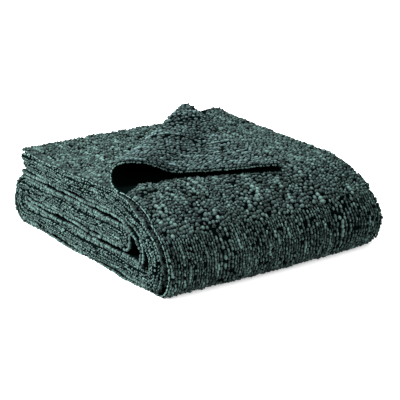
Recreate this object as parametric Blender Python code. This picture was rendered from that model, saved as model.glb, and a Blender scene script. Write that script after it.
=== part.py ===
"""A large cotton waffle blanket, folded for a shelf or a bed end.

The cloth is one sheet. It is folded in four across, then in half along its length, and that
bundle of eight layers is folded in thirds round the front. The free top corner is turned back
over a loose diagonal roll. The sheet is modelled as its middle surface and given its thickness.

X runs along the big front fold, Y to the back, Z up. The open side, with the two selvedges, is
at low X. Depth counts the bundle's layers from its outer face, 1 to 8.
"""

import math

import bpy
import numpy as np
from mathutils import geometry

# The cloth and the folded stack
CLOTH_THICKNESS = 0.0030
LAYER_PITCH = 0.00525
BUNDLE_LAYERS = 8
HALF_BUNDLE_MIDDLES = {"outer": 2.5, "inner": 6.5}
BUNDLE_GAP = 0.0030
STACK_HEIGHT = 3 * BUNDLE_LAYERS * LAYER_PITCH + 2 * BUNDLE_GAP
MIDDLE_TOP = 2 * BUNDLE_LAYERS * LAYER_PITCH + BUNDLE_GAP
STACK_WIDTH = 0.449

# Each layer of the bundle on its way round the front fold: where its hem lies at the back,
# where its top run starts to turn down, its foremost point, and where its bottom run starts.
LAYER_COLUMNS = ("depth", "hem_y", "turn_start_y", "nose_y", "nose_z", "turn_end_y")
LAYER_ROWS = (
    (1, 0.4586, 0.100, -0.031, 0.053, 0.004),
    (2, 0.434, 0.130, -0.003, 0.044, 0.014),
    (3, 0.429, 0.131, 0.003, 0.046, 0.019),
    (4, 0.427, 0.132, 0.009, 0.048, 0.024),
    (5, 0.420, 0.130, 0.018, 0.050, 0.032),
    (6, 0.418, 0.133, 0.024, 0.052, 0.037),
    (7, 0.426, 0.130, 0.044, 0.058, 0.051),
    (8, 0.431, 0.134, 0.050, 0.060, 0.058),
)
NOSE_ROUNDNESS = 1.75

# The open side's edge and the folded side's edge of each of the four layers across, with how
# far the open side wanders in and out along the fold
ACROSS_COLUMNS = ("rank", "open_x", "folded_x")
ACROSS_ROWS = (
    (1, 0.0020, 0.4394),
    (2, 0.0045, 0.4310),
    (3, 0.0030, 0.4310),
    (4, 0.0030, 0.4394),
)
WANDER = 0.0022
WANDER_LENGTH = 0.17
WANDER_TURN = 1.6

# The back fold, where the bottom bundle turns up into the middle one, and the middle
# bundle's inner end, where the sheet is folded in half
BACK_FOLD_Y = 0.416
INNER_END_Y = 0.104

# How the stack settles: its crown over the front, its fall towards the folded side, and the
# way the front fold's far corner slumps back and tucks in
CROWN_RISE = 0.0145
CROWN_BACK_Y = 0.400
CROWN_FRONT_Y = 0.130
CROWN_SHARE_LOST = 0.75
FOLDED_SIDE_DROP = 0.0085
CORNER_SLUMP = 0.030
SLUMP_FADE_Y = 0.300
LOW_TUCK = 0.044
LOW_TUCK_HEIGHT = 0.045
HIGH_TUCK = 0.010
TUCK_START_X = 0.280

# The turned-back corner: the line where the cloth leaves the stack, how far its free corner
# stood out past the open side while it lay flat, the bends that the cloth takes from that line,
# each over a length of cloth to a new slope, and how high the roll stands along it
LIFT_LINE_Y = 0.1088
LIFT_LINE_ANGLE = math.radians(41.9)
FREE_CORNER_FLARE = 0.037
BEND_COLUMNS = ("name", "length", "end_slope", "rows")
BEND_ROWS = (
    ("lift", 0.012, 25.0, 2),
    ("rise", 0.018, 84.0, 3),
    ("crest", 0.020, 169.0, 5),
    ("fall", 0.053, 212.0, 4),
    ("settle", 0.044, 180.2, 3),
    ("lie", 0.200, 180.0, 3),
)
STEPS_PER_BEND = 12
ROLL_HEIGHT_COLUMNS = ("along", "share")
ROLL_HEIGHT_ROWS = (
    (0.02, 1.22),
    (0.12, 1.04),
    (0.23, 0.93),
    (0.47, 1.04),
)

# Where the mesh has its lines
PANEL_STATIONS = (0.0, 0.05, 0.36, 0.72, 1.0)
TOP_STATIONS = (0.0, 0.12, 0.30, 0.50, 0.70, 0.87, 1.0)
RUN_STATIONS = (0.0, 0.10, 0.45, 0.80, 1.0)
FRONT_STEPS = 9
BACK_STEPS = 7
INNER_STEPS = 4
OUTER_EDGE_STEPS = 4
INNER_EDGE_STEPS = 3
ROLL_COLUMN_SPACING = 0.045
ROLL_COLUMNS = 13
BORDER_MARGIN = 0.0045

CLOTH_COLOUR = (0.055, 0.125, 0.110, 1.0)
CLOTH_ROUGHNESS = 0.95


def column(columns, rows, name, at):
    """The named column of a table, read at any value of its first column."""
    table = np.array(rows)
    return np.interp(at, table[:, 0], table[:, columns.index(name)])


def layer(name, depth):
    return column(LAYER_COLUMNS, LAYER_ROWS, name, depth)


def smooth_step(value):
    value = np.clip(value, 0.0, 1.0)
    return value * value * (3.0 - 2.0 * value)


def crown(x, y):
    """How much higher than its neat level the stack's top lies."""
    across = x / STACK_WIDTH
    rise = CROWN_RISE * smooth_step((CROWN_BACK_Y - y) / (CROWN_BACK_Y - CROWN_FRONT_Y))
    return rise * (1.0 - CROWN_SHARE_LOST * across) - FOLDED_SIDE_DROP * across**2


def settled(x, y, level):
    """The height of what lies at a neat level, with the crown spread over the stack."""
    return level + crown(x, y) * (level / STACK_HEIGHT) ** 3


def top_level(depth):
    return STACK_HEIGHT - (depth - 0.5) * LAYER_PITCH


def middle_level(depth):
    return MIDDLE_TOP - (depth - 0.5) * LAYER_PITCH


def bottom_level(depth):
    return (depth - 0.5) * LAYER_PITCH


def top_run(x, depth, share):
    hem, start = layer("hem_y", depth), layer("turn_start_y", depth)
    y = hem + (start - hem) * share
    return y, settled(x, y, top_level(depth))


def front_turn(x, depth, angle):
    """Round the nose from the top run to the bottom run, as two quarters of one oval."""
    power = 2.0 / NOSE_ROUNDNESS
    forward = np.sin(angle) ** power
    upward = np.abs(np.cos(angle)) ** power
    start, end = layer("turn_start_y", depth), layer("turn_end_y", depth)
    nose_y, nose_z = layer("nose_y", depth), layer("nose_z", depth)
    top = settled(x, start, top_level(depth))
    above = angle < math.pi / 2
    y = np.where(above, start - (start - nose_y) * forward, end - (end - nose_y) * forward)
    z_above = nose_z + (top - nose_z) * upward
    z_below = nose_z - (nose_z - bottom_level(depth)) * upward
    return y, np.where(above, z_above, z_below)


def bottom_run(x, depth, share):
    end = layer("turn_end_y", depth)
    return end + (BACK_FOLD_Y - end) * share, bottom_level(depth) + 0.0 * x


def back_turn(x, depth, angle):
    radius = (middle_level(depth) - bottom_level(depth)) / 2
    centre = (middle_level(depth) + bottom_level(depth)) / 2
    y = BACK_FOLD_Y + radius * np.sin(angle)
    return y, settled(x, y, centre - radius * np.cos(angle))


def middle_run(x, depth, share):
    y = BACK_FOLD_Y + (INNER_END_Y - BACK_FOLD_Y) * share
    return y, settled(x, y, middle_level(depth))


def inner_turn(x, rank, angle):
    """The half fold at the middle bundle's inner end, seen from the outer strand's ranks."""
    centre = (BUNDLE_LAYERS + 1) / 2
    radius = (centre - rank) * LAYER_PITCH
    y = INNER_END_Y - radius * np.sin(angle)
    return y, settled(x, y, middle_level(centre) + radius * np.cos(angle))


def leaned(x, y, z, level):
    """The far corner of the front fold slumps back, and the folded side tucks in by its half
    bundle's level, so that the four layers folded together keep their shape."""
    slump = CORNER_SLUMP * np.clip(x / STACK_WIDTH, 0.0, 1.1) ** 3
    y = y + slump * smooth_step((SLUMP_FADE_Y - y) / SLUMP_FADE_Y)
    low = LOW_TUCK * np.clip(1.0 - level / LOW_TUCK_HEIGHT, 0.0, 1.0) ** 2
    over = (level - LOW_TUCK_HEIGHT) / (STACK_HEIGHT - LOW_TUCK_HEIGHT)
    high = HIGH_TUCK * np.clip(over, 0.0, 1.2) ** 2
    near_side = smooth_step((x - TUCK_START_X) / (STACK_WIDTH - TUCK_START_X))
    return x - (low + high) * near_side, y, z


def stations_across():
    """(share of the width, rank, reach past the edge) from selvedge to selvedge."""

    def panel(rank, shares):
        return [(share, rank, 0.0) for share in shares]

    def edge(share, first_rank, last_rank, steps, side):
        centre, radius = (first_rank + last_rank) / 2, (last_rank - first_rank) / 2
        found = []
        for step in range(1, steps):
            angle = math.pi * step / steps
            reach = side * abs(radius) * LAYER_PITCH * math.sin(angle)
            found.append((share, centre - radius * math.cos(angle), reach))
        return found

    out, back = PANEL_STATIONS, PANEL_STATIONS[::-1]
    return (
        panel(1, out)
        + edge(1.0, 1, 4, OUTER_EDGE_STEPS, 1)
        + panel(4, back)
        + edge(0.0, 4, 3, INNER_EDGE_STEPS, -1)
        + panel(3, out)
        + edge(1.0, 3, 2, INNER_EDGE_STEPS, 1)
        + panel(2, back)
    )


def stations_along():
    """(run, value, strand) from the outer strand's hem to the inner strand's hem."""

    def turn(steps):
        return [math.pi * step / steps for step in range(1, steps)]

    outer = [(top_run, share) for share in TOP_STATIONS]
    outer += [(front_turn, angle) for angle in turn(FRONT_STEPS)]
    outer += [(bottom_run, share) for share in RUN_STATIONS]
    outer += [(back_turn, angle) for angle in turn(BACK_STEPS)]
    outer += [(middle_run, share) for share in RUN_STATIONS]
    half = [(inner_turn, angle, "outer") for angle in turn(INNER_STEPS)]
    inner = [(run, value, "inner") for run, value in outer[::-1]]
    return [(run, value, "outer") for run, value in outer] + half + inner


def open_edge(rank, distance):
    """The open side's X at this rank, wandering along the cloth's length."""
    sway = np.sin(2 * math.pi * distance / WANDER_LENGTH + WANDER_TURN * rank)
    return column(ACROSS_COLUMNS, ACROSS_ROWS, "open_x", rank) + WANDER * sway


def cloth_point(across, along, distance):
    share, rank, reach = across
    run, value, strand = along
    left = open_edge(rank, distance)
    right = column(ACROSS_COLUMNS, ACROSS_ROWS, "folded_x", rank)
    x = left + (right - left) * share + reach
    depth = rank if strand == "outer" else BUNDLE_LAYERS + 1 - rank
    y, z = run(x, depth, value)
    _, level = run(x, HALF_BUNDLE_MIDDLES[strand], value)
    return leaned(x, y, z, level)


def distances_along(along):
    """How far each station is from the first, on the bundle's middle line."""
    middle = (0.5, 2.5, 0.0)
    points = np.array([cloth_point(middle, station, 0.0) for station in along])
    steps = np.linalg.norm(np.diff(points, axis=0), axis=1)
    return np.concatenate([[0.0], np.cumsum(steps)])


def roll_curve():
    """(length of cloth, way across the lift line, height) along the turned-back corner."""
    length, way, height, slope = [0.0], [0.0], [0.0], 0.0
    for _, bend_length, end_slope, _ in BEND_ROWS:
        step = bend_length / STEPS_PER_BEND
        end = math.radians(end_slope)
        for number in range(STEPS_PER_BEND):
            here = slope + (end - slope) * (number + 0.5) / STEPS_PER_BEND
            length.append(length[-1] + step)
            way.append(way[-1] + step * math.cos(here))
            height.append(height[-1] + step * math.sin(here))
        slope = end
    return np.array(length), np.array(way), np.array(height)


def roll_rows():
    """How far past the lift line the mesh has its rows."""
    rows, start = [0.0], 0.0
    for _, bend_length, _, count in BEND_ROWS:
        rows += [start + bend_length * number / count for number in range(1, count + 1)]
        start += bend_length
    return rows


def top_height(x, y):
    """The height of the outer layer's middle on top of the stack, down over the nose."""
    start, nose_y = layer("turn_start_y", 1), layer("nose_y", 1)
    flat = settled(x, y, top_level(1))
    brink = settled(x, start, top_level(1))
    past = np.clip((start - y) / (start - nose_y), 0.0, 1.0)
    nose_z = layer("nose_z", 1)
    fallen = nose_z + (brink - nose_z) * (1 - past**NOSE_ROUNDNESS) ** (1 / NOSE_ROUNDNESS)
    return np.where(y < start, fallen, flat)


def roll_frame():
    """The plan directions along the lift line and away from it, towards the free corner."""
    along = (math.cos(LIFT_LINE_ANGLE), math.sin(LIFT_LINE_ANGLE))
    return along, (-along[1], along[0])


def past_lift_line(x, y):
    """How far a point of the flat top layer lies past the line where it leaves the stack."""
    _, away = roll_frame()
    return x * away[0] + (y - LIFT_LINE_Y) * away[1]


def turned_back(x, y):
    """A point of the flat top layer, carried round the roll if it is past the lift line."""
    (along_x, along_y), (away_x, away_y) = roll_frame()
    past = max(past_lift_line(x, y), 0.0)
    along = x * along_x + (y - LIFT_LINE_Y) * along_y
    length, way, height = roll_curve()
    moved = np.interp(past, length, way) - past
    share = column(ROLL_HEIGHT_COLUMNS, ROLL_HEIGHT_ROWS, "share", along)
    x, y = x + away_x * moved, y + away_y * moved
    return x, y, top_height(x, y) + share * np.interp(past, length, height)


def top_sheet(front_row, side_row):
    """Points and triangles of the outer layer's top run, laid flat. Its front and folded-side
    borders take the given points, which the rest of the cloth shares. Rows follow the roll."""
    left, right = front_row[0][0], front_row[-1][0]
    front, back = front_row[0][1], side_row[0][1]
    (along_x, along_y), (away_x, away_y) = roll_frame()
    flare = FREE_CORNER_FLARE / (back - front)
    border_points = front_row[:-1] + side_row[::-1]
    hem_cuts = [((back - LIFT_LINE_Y) * away_y - row) / -away_x for row in roll_rows()]
    hem_cuts += [right * share for share in PANEL_STATIONS[1:-1]]
    start = LIFT_LINE_Y * away_y - (left + flare * front) * away_x
    edge_cuts = [(start + row) / (away_y - flare * away_x) for row in roll_rows()]
    corner_x = left - FREE_CORNER_FLARE
    rim_points = border_points + [(x, back) for x in apart(hem_cuts, corner_x, right)[::-1]]
    rim_points.append((corner_x, back))
    for y in apart(edge_cuts, front, back)[::-1]:
        rim_points.append((left - flare * (y - front), y))
    rim = [(i, (i + 1) % len(rim_points)) for i in range(len(rim_points))]
    inner_points = []
    for past in roll_rows():
        for step in range(ROLL_COLUMNS):
            x = left + along_x * step * ROLL_COLUMN_SPACING + away_x * past
            y = LIFT_LINE_Y + along_y * step * ROLL_COLUMN_SPACING + away_y * past
            inner_points.append((x, y))
    for share_x in PANEL_STATIONS:
        for share_y in TOP_STATIONS:
            x = left + (right - left) * share_x
            y = back + (front - back) * share_y
            if past_lift_line(x, y) < -ROLL_COLUMN_SPACING / 2:
                inner_points.append((x, y))
    inside = []
    for x, y in inner_points:
        beside = left - flare * (y - front) + BORDER_MARGIN < x < right - BORDER_MARGIN
        if beside and front + BORDER_MARGIN < y < back - BORDER_MARGIN:
            inside.append((x, y))
    found = geometry.delaunay_2d_cdt(rim_points + inside, rim, [], 1, 1e-6)
    return [tuple(point) for point in found[0]], found[2], len(border_points)


def apart(values, low, high):
    """The values between two ends in rising order, none nearer the last than the margin."""
    kept = [low]
    for value in sorted(values):
        if value - kept[-1] > BORDER_MARGIN / 2 and high - value > BORDER_MARGIN / 2:
            kept.append(value)
    return kept[1:]


def middle_surface():
    """The whole sheet's middle surface: its points and its faces."""
    across, along = stations_across(), stations_along()
    distances = distances_along(along)
    points, faces, index = [], [], {}
    last_panel, last_top = len(PANEL_STATIONS) - 1, len(TOP_STATIONS) - 1

    def point_at(i, j):
        if (i, j) not in index:
            index[i, j] = len(points)
            points.append(tuple(float(v) for v in cloth_point(across[i], along[j], distances[j])))
        return index[i, j]

    for i in range(len(across) - 1):
        for j in range(len(along) - 1):
            if i < last_panel and j < last_top:
                continue
            corners = ((i, j), (i, j + 1), (i + 1, j + 1), (i + 1, j))
            faces.append([point_at(*corner) for corner in corners])

    front = [point_at(i, last_top) for i in range(last_panel + 1)]
    side = [point_at(last_panel, j) for j in range(last_top + 1)]
    flat_front = [tuple(points[at][:2]) for at in front]
    flat_side = [tuple(points[at][:2]) for at in side]
    flat, triangles, border = top_sheet(flat_front, flat_side)
    shared = front[:-1] + side[::-1]
    number = {k: shared[k] for k in range(border)}
    for k in range(border, len(flat)):
        number[k] = len(points)
        points.append(tuple(float(v) for v in turned_back(*flat[k])))
    faces += [[number[k] for k in triangle] for triangle in triangles]
    return points, faces


def cloth_material():
    material = bpy.data.materials.new("dark_green_cotton")
    material.use_nodes = True
    shader = material.node_tree.nodes["Principled BSDF"]
    shader.inputs["Base Color"].default_value = CLOTH_COLOUR
    shader.inputs["Roughness"].default_value = CLOTH_ROUGHNESS
    shader.inputs["Metallic"].default_value = 0.0
    return material


def make_blanket():
    points, faces = middle_surface()
    points = np.array(points)
    low, high = points.min(axis=0), points.max(axis=0)
    points -= ((low[0] + high[0]) / 2, (low[1] + high[1]) / 2, low[2] - CLOTH_THICKNESS / 2)
    mesh = bpy.data.meshes.new("folded_blanket")
    mesh.from_pydata(points.tolist(), [], faces)
    mesh.validate()
    blanket = bpy.data.objects.new("folded_blanket", mesh)
    bpy.context.scene.collection.objects.link(blanket)
    mesh.materials.append(cloth_material())
    mesh.shade_smooth()
    body = blanket.modifiers.new("cloth_thickness", "SOLIDIFY")
    body.thickness = CLOTH_THICKNESS
    body.offset = 0.0
    return blanket


def main():
    for old in list(bpy.data.objects):
        bpy.data.objects.remove(old)
    make_blanket()


main()
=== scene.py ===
"""The looks of a large cotton blanket in a slubby waffle weave, folded with one corner back.

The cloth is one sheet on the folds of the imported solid, and the raised floats of its weave are
short fat yarns set on it in uneven, staggered columns. The file is laid out as an add-on and is
run as a script: the operators below build the cloth, its yarns and the stage.
"""

import math

import bpy
import numpy as np
from mathutils import Matrix, Vector, noise


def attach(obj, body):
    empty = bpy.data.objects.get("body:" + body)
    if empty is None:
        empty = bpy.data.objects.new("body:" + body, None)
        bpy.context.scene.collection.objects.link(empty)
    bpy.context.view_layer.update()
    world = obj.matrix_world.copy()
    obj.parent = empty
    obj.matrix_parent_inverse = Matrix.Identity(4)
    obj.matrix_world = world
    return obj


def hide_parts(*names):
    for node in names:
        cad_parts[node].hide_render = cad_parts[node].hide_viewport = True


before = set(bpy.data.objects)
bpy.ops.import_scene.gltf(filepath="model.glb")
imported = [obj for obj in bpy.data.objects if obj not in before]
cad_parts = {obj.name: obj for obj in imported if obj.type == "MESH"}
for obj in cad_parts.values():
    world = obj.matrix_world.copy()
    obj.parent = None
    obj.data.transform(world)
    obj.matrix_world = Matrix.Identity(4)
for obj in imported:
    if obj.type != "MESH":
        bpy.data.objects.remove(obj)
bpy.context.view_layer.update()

bl_info = {
    "name": "Folded waffle blanket",
    "version": (1, 0, 0),
    "blender": (4, 5, 0),
    "location": "View3D > Sidebar > Blanket",
    "description": "Builds a folded cotton blanket with a raised slubby weave",
    "category": "Object",
}

# The folded stack, in metres, from the near bottom corner of its front fold
LAYER_PITCH = 0.00525
BUNDLE_LAYERS = 8
HALF_BUNDLE_MIDDLES = {"outer": 2.5, "inner": 6.5}
BUNDLE_GAP = 0.0030
STACK_HEIGHT = 3 * BUNDLE_LAYERS * LAYER_PITCH + 2 * BUNDLE_GAP
MIDDLE_TOP = 2 * BUNDLE_LAYERS * LAYER_PITCH + BUNDLE_GAP
STACK_WIDTH = 0.449
PACKED_ORIGIN = (0.219898, 0.214104, 0.001125)

# Each layer of the bundle on its way round the front fold
LAYER_COLUMNS = ("depth", "hem_y", "turn_start_y", "nose_y", "nose_z", "turn_end_y")
LAYER_ROWS = (
    (1, 0.4586, 0.100, -0.031, 0.053, 0.004),
    (2, 0.434, 0.130, -0.003, 0.044, 0.014),
    (3, 0.429, 0.131, 0.003, 0.046, 0.019),
    (4, 0.427, 0.132, 0.009, 0.048, 0.024),
    (5, 0.420, 0.130, 0.018, 0.050, 0.032),
    (6, 0.418, 0.133, 0.024, 0.052, 0.037),
    (7, 0.426, 0.130, 0.044, 0.058, 0.051),
    (8, 0.431, 0.134, 0.050, 0.060, 0.058),
)
NOSE_ROUNDNESS = 1.75
LOW_NOSE_ROUNDNESS = 2.4
ACROSS_COLUMNS = ("rank", "open_x", "folded_x")
ACROSS_ROWS = (
    (1, 0.0020, 0.4394),
    (2, 0.0045, 0.4310),
    (3, 0.0030, 0.4310),
    (4, 0.0030, 0.4394),
)
WANDER = 0.0022
WANDER_LENGTH = 0.17
WANDER_TURN = 1.6
BACK_FOLD_Y = 0.416
INNER_END_Y = 0.104
CROWN_RISE = 0.0145
CROWN_BACK_Y = 0.400
CROWN_FRONT_Y = 0.130
CROWN_SHARE_LOST = 0.75
FOLDED_SIDE_DROP = 0.0085
CORNER_SLUMP = 0.030
LOW_SLUMP_SHARE = 0.50
SLUMP_FADE_Y = 0.300
LOW_TUCK = 0.037
LOW_TUCK_HEIGHT = 0.045
HIGH_TUCK = 0.010
TUCK_START_X = 0.280
HEM_LOFT = 0.0058
HEM_LOFT_START_Y = 0.300
HEM_LOFT_WIDTH = 0.120
HEM_LOFT_END_X = 0.360
HEM_LOFT_FADE = 0.100
LOW_BULGE = 0.0040
LOW_BULGE_HEIGHT = 0.050

# The crumple is full at the open side and calmer towards the folded side
CRUMPLE_SEED = 4
CRUMPLE_FADE_WIDTH = 0.9
CRUMPLE_FADED = 0.2
CRUMPLE_LEAST = 0.35
CRUMPLE_WAYS = (0.5, 1.0, 0.5)
PUFF_INSIDE_SHARE = 0.30

# The turned-back corner and its roll
LIFT_LINE_Y = 0.1088
LIFT_LINE_ANGLE = math.radians(41.9)
FREE_CORNER_FLARE = 0.037
BEND_ROWS = (
    # name, length of cloth, slope at its end in degrees
    ("lift", 0.012, 25.0),
    ("rise", 0.018, 84.0),
    ("crest", 0.020, 169.0),
    ("fall", 0.053, 212.0),
    ("settle", 0.044, 180.2),
    ("lie", 0.200, 180.0),
)
STEPS_PER_BEND = 12
ROLL_HEIGHT_COLUMNS = ("along", "share")
ROLL_HEIGHT_ROWS = (
    (0.02, 1.22),
    (0.12, 1.04),
    (0.23, 0.93),
    (0.47, 1.04),
)

# The top layer's far corner stands up a little beside the roll
CORNER_LIFT = 0.0075
CORNER_LIFT_START = 0.43
CORNER_LIFT_END = 0.54
CORNER_LIFT_PAST = -0.014
CORNER_LIFT_REACH = 0.021

# How finely the sheet is divided: steps on each run, and shares of the width on each panel
RUN_STEPS = {"top": 88, "front": 52, "bottom": 42, "back": 18, "middle": 34, "inner_end": 6}
HIDDEN_RUN_STEPS = {"top": 24, "front": 22, "bottom": 20, "back": 12, "middle": 18}
BROW_STEPS = 17
OUTER_PANEL_STEPS = 64
SECOND_PANEL_STEPS = 18
HIDDEN_PANEL_SHARES = (0.0, 0.010, 0.028, 0.075, 0.30, 0.70, 0.93, 0.975, 1.0)
FOLD_STEPS = {"outer": 7, "open": 6, "inner": 4}

# The cloth's own thickness, and how much fuller it is at its selvedges and folds
SHEET_THICKNESS = 0.0032
EDGE_FULLNESS = 0.0012
EDGE_FULL_WIDTH = 0.020
LOWEST_CLOTH = -0.0002

# The weave: the widths that its columns of yarn come in, as shares of the usual pitch, and how
# far out of the ground a yarn stands, as a share of its height
COLUMN_WIDTHS = (0.78, 0.84, 0.92, 1.0, 1.12, 1.32)
FINE_COLUMN_WIDTHS = COLUMN_WIDTHS[:4]
COLUMN_GROUP = (2, 7)
COLUMN_UNEVEN = (0.92, 1.08)
WIDEST_YARN = 1.25
YARN_STANDS = 0.26
YARN_SIDES = 6
YARN_RINGS = 4
FINE_SELVEDGE = 0.060
# How much lightness a yarn keeps at its foot under the painted shade that darkens it towards the
# ground
YARN_FOOT_SHARE = 0.03
OPEN_FOLD_WIDTH = 0.0095
SECOND_SELVEDGE = 0.012
FOLDED_FOLD_WIDTH = 0.004
OUTSIDE = -1.0
INSIDE = 1.0
# Strips before the roll and in front of the turned-back corner are left bare on the near-black
# ground or set with small dark yarns: painted shadow
ROLL_SHADE = -0.016
MOUTH_SHADE = -0.048
FLAP_SHADE = 0.016
FLAP_BARE_SHADOW = -0.008
ROLL_OUTSIDE = 0.010
SECOND_BARED = -0.015
SELVEDGE = 1
HEM = 2

# How each face of the cloth is woven: its own random seed, how much of its column a yarn fills,
# how far the column zigzags and slants, and the yarns' length, distance and share of pits
WEAVES = {
    "top": dict(seed=11, fill=0.98, sway=0.20, slant=0.12, overlap=0.95, spacing=0.92, pits=1.1),
    "turns": dict(seed=11, fill=0.56, sway=0.10, overlap=1.15, spacing=0.74),
    "corner": dict(seed=23, fill=0.82, sway=0.10, slant=0.35, overlap=0.92, pits=1.5),
    "second": dict(seed=29, fill=0.85, sway=0.14),
    "open side": dict(seed=37, fill=0.90, sway=0.12, slant=0.5, pits=2.2),
    "folded side": dict(seed=41, fill=0.86, sway=0.12),
    "rims": dict(seed=53, fill=1.0, sway=0.0),
}
# Each face's lightness shifts the same cotton lighter or darker as painted light and shade: lighter
# on the open side that faces the key light; darker on the top, the front, the corner and the second
# layer; darkest in the strip in front of the turned-back corner and on the second layer's selvedge
# deep in its gap
ACROSS_TOP = dict(fineness=0.96, lightness=-0.17)
IN_SHADE = dict(fineness=0.7, lightness=-0.75)
ROUND_FRONT = dict(fineness=1.0, lightness=-0.10)
ROUND_BACK = dict(fineness=1.1)
ON_CORNER = dict(fineness=0.95, lightness=-0.07)
ON_SECOND = dict(fineness=0.92, lightness=-0.14)
SECOND_EDGE = dict(fineness=0.85, lightness=-0.6)
ON_OPEN_SIDE = dict(fineness=0.60, lightness=0.15)
ON_FOLDED_SIDE = dict(fineness=0.85)

# How uneven the yarns are, as shares of their usual measures, and what a slub adds
YARN_STEPS = (0.74, 1.26)
SHORTEST_STEP = 0.8
SPARE_STEPS = 3
ZIGZAG_SHARES = (0.3, 1.0)
STRAY_ASIDE = 0.06
FATNESS_SPREAD = 0.17
FATNESS_LIMITS = (0.55, 1.8)
SLUB_RUN = (2, 6)
SLUB_STRENGTHS = (0.5, 1.0)
SLUB_FATTER = 0.45
SLUB_LONGER = 0.30
SLUB_LIGHTER = 0.45
SLUB_HIGHER = 0.0006
USUAL_SHADE = 0.42
SHADE_SPREAD = 0.22
LIFT_SPREAD = 0.0004
ZIGZAG_TURN = 2.0
TURN_SPREAD = 0.1
TIP_SPREAD = 0.12
SHORT_OF_END = 1.001
RIM_STEP = 0.72
RIM_PLACES = (0.2, 0.8)
RIM_FATNESS = (0.8, 1.3)
RIM_LENGTHS = (0.9, 1.4)
RIM_SHADE = 0.55
RIM_SHADE_SPREAD = 0.2
RIM_LIFT_SPREAD = 0.0005
RIM_TURN_SPREAD = 0.25

# The cotton: how close its fibres and patches are, how rough it is, and what lightens a yarn
GROUND_FIBRES = 900.0
GROUND_BUMP = 0.6
YARN_FIBRES = 1400.0
YARN_BUMP = 0.55
YARN_PATCHES = 55.0
YARN_ROUGHNESS = 0.92
SHEEN_ROUGHNESS = 0.5
BUMP_DEPTH = 0.0006
SHADE_SHARE = 0.8
FIBRE_SHARE = 0.45
PATCH_SHARE = 0.25
DARKER_BY = 0.30

# The stage: name, place, width and power of each lamp, and the floor, which glows a little so
# that it stays as white as the surroundings
LAMPS = (
    ("key_light", (-1.9, 1.0, 2.4), 0.6, 430.0),
    ("fill_light", (-2.6, -1.4, 1.5), 1.6, 45.0),
    ("top_light", (0.3, 0.6, 2.8), 2.0, 40.0),
)
LAMP_TARGET = Vector((0.0, 0.0, 0.07))
FLOOR_WIDTH = 12.0
FLOOR_LEVEL = -0.0006
FLOOR_COLOUR = (0.93, 0.93, 0.93, 1.0)
FLOOR_ROUGHNESS = 0.9
FLOOR_GLOW = 0.45
WHITE = (1.0, 1.0, 1.0, 1.0)

# The photograph's view: the point at the middle of the frame, and where the camera stands
VIEW_TARGET = Vector((-0.1374, -0.2101, 0.1435))
VIEW_DISTANCE = 3.110
VIEW_AZIMUTH = math.radians(-34.1)
VIEW_ELEVATION = math.radians(18.9)
LENS_MM = 178.0
SENSOR_MM = 36.0
FAR_CLIP = 50.0


def column(columns, rows, name, at):
    """The named column of a table, read at any value of its first column."""
    table = np.array(rows)
    return np.interp(at, table[:, 0], table[:, columns.index(name)])


def layer(name, depth):
    return column(LAYER_COLUMNS, LAYER_ROWS, name, depth)


def smooth_step(value):
    value = np.clip(value, 0.0, 1.0)
    return value * value * (3.0 - 2.0 * value)


def crown(x, y):
    """How much higher than its neat level the stack's top lies."""
    across = x / STACK_WIDTH
    rise = CROWN_RISE * smooth_step((CROWN_BACK_Y - y) / (CROWN_BACK_Y - CROWN_FRONT_Y))
    return rise * (1.0 - CROWN_SHARE_LOST * across) - FOLDED_SIDE_DROP * across**2


def settled(x, y, level):
    """The height of what lies at a neat level: the crown, and the hems lying looser at the back."""
    over = np.clip((level - MIDDLE_TOP) / (STACK_HEIGHT - MIDDLE_TOP), 0.0, 1.0)
    back = smooth_step((y - HEM_LOFT_START_Y) / HEM_LOFT_WIDTH)
    loft = HEM_LOFT * over * back * smooth_step((HEM_LOFT_END_X - x) / HEM_LOFT_FADE)
    return level + crown(x, y) * (level / STACK_HEIGHT) ** 3 + loft


def top_level(depth):
    return STACK_HEIGHT - (depth - 0.5) * LAYER_PITCH


def middle_level(depth):
    return MIDDLE_TOP - (depth - 0.5) * LAYER_PITCH


def bottom_level(depth):
    return (depth - 0.5) * LAYER_PITCH


def top_run(x, depth, share):
    hem, start = layer("hem_y", depth), layer("turn_start_y", depth)
    y = hem + (start - hem) * share
    return y, settled(x, y, top_level(depth))


def front_turn(x, depth, share):
    """Round the nose from the top run to the bottom run, as two quarters of one oval."""
    angle = math.pi * share
    power = 2.0 / (NOSE_ROUNDNESS if angle < math.pi / 2 else LOW_NOSE_ROUNDNESS)
    forward = abs(math.sin(angle)) ** power
    upward = abs(math.cos(angle)) ** power
    start, end = layer("turn_start_y", depth), layer("turn_end_y", depth)
    nose_y, nose_z = layer("nose_y", depth), layer("nose_z", depth)
    if angle < math.pi / 2:
        top = settled(x, start, top_level(depth))
        return start - (start - nose_y) * forward, nose_z + (top - nose_z) * upward
    low = nose_z - (nose_z - bottom_level(depth)) * upward
    return end - (end - nose_y) * forward, low


def bottom_run(x, depth, share):
    end = layer("turn_end_y", depth)
    return end + (BACK_FOLD_Y - end) * share, bottom_level(depth)


def back_turn(x, depth, share):
    radius = (middle_level(depth) - bottom_level(depth)) / 2
    centre = (middle_level(depth) + bottom_level(depth)) / 2
    y = BACK_FOLD_Y + radius * math.sin(math.pi * share)
    return y, settled(x, y, centre - radius * math.cos(math.pi * share))


def middle_run(x, depth, share):
    y = BACK_FOLD_Y + (INNER_END_Y - BACK_FOLD_Y) * share
    return y, settled(x, y, middle_level(depth))


def inner_turn(x, rank, share):
    """The half fold at the middle bundle's inner end, seen from the outer strand's ranks."""
    centre = (BUNDLE_LAYERS + 1) / 2
    radius = (centre - rank) * LAYER_PITCH
    y = INNER_END_Y - radius * math.sin(math.pi * share)
    return y, settled(x, y, middle_level(centre) + radius * math.cos(math.pi * share))


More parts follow.
